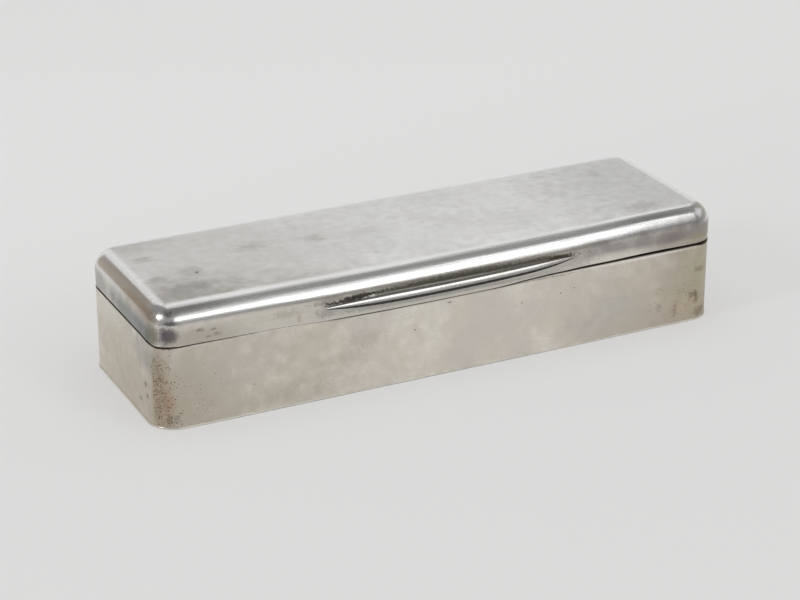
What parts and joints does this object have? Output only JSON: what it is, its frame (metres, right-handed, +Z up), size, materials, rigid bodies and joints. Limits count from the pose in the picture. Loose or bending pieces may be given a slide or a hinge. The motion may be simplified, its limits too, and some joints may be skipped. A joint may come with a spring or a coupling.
{
  "type": "silver table box",
  "caption": "Long narrow lidded table box in plain silver, with rounded corners, a soft-edged hinged lid, a slender thumb piece and a cedar lining.",
  "frame": {"origin": "centre of the base plate's underside, on the surface that the box stands on", "axes": "+X along the box's length, -Y towards the front with the thumb piece, +Z up through the closed lid"},
  "size_m": [0.2004, 0.0659, 0.04],
  "materials": {
    "silver": "satin",
    "silver_gilt": "satin",
    "pin_wire": "satin",
    "cedar": "matte"
  },
  "bodies": {
    "base": {"wall_band": "silver", "base_plate": "silver", "bearer_base": "silver", "knuckle_1_base": "silver", "knuckle_3_base": "silver", "knuckle_5_base": "silver", "knuckle_7_base": "silver", "hinge_pin": "pin_wire", "pin_plug_left": "silver", "pin_plug_right": "silver", "lining_floor": "cedar", "lining_front": "cedar", "lining_back": "cedar", "lining_left": "cedar", "lining_right": "cedar", "lining_divider": "cedar"},
    "lid": {"lid_shell": "silver", "thumb_piece": "silver", "bearer_lid": "silver", "knuckle_2_lid": "silver", "knuckle_4_lid": "silver", "knuckle_6_lid": "silver"}
  },
  "joints": [
    {"name": "lid_hinge", "type": "hinge", "parent": "base", "child": "lid", "pos_m": [0, 0.031, 0.02815], "axis": [-1, 0, 0], "range_deg": [0, 95]}
  ]
}
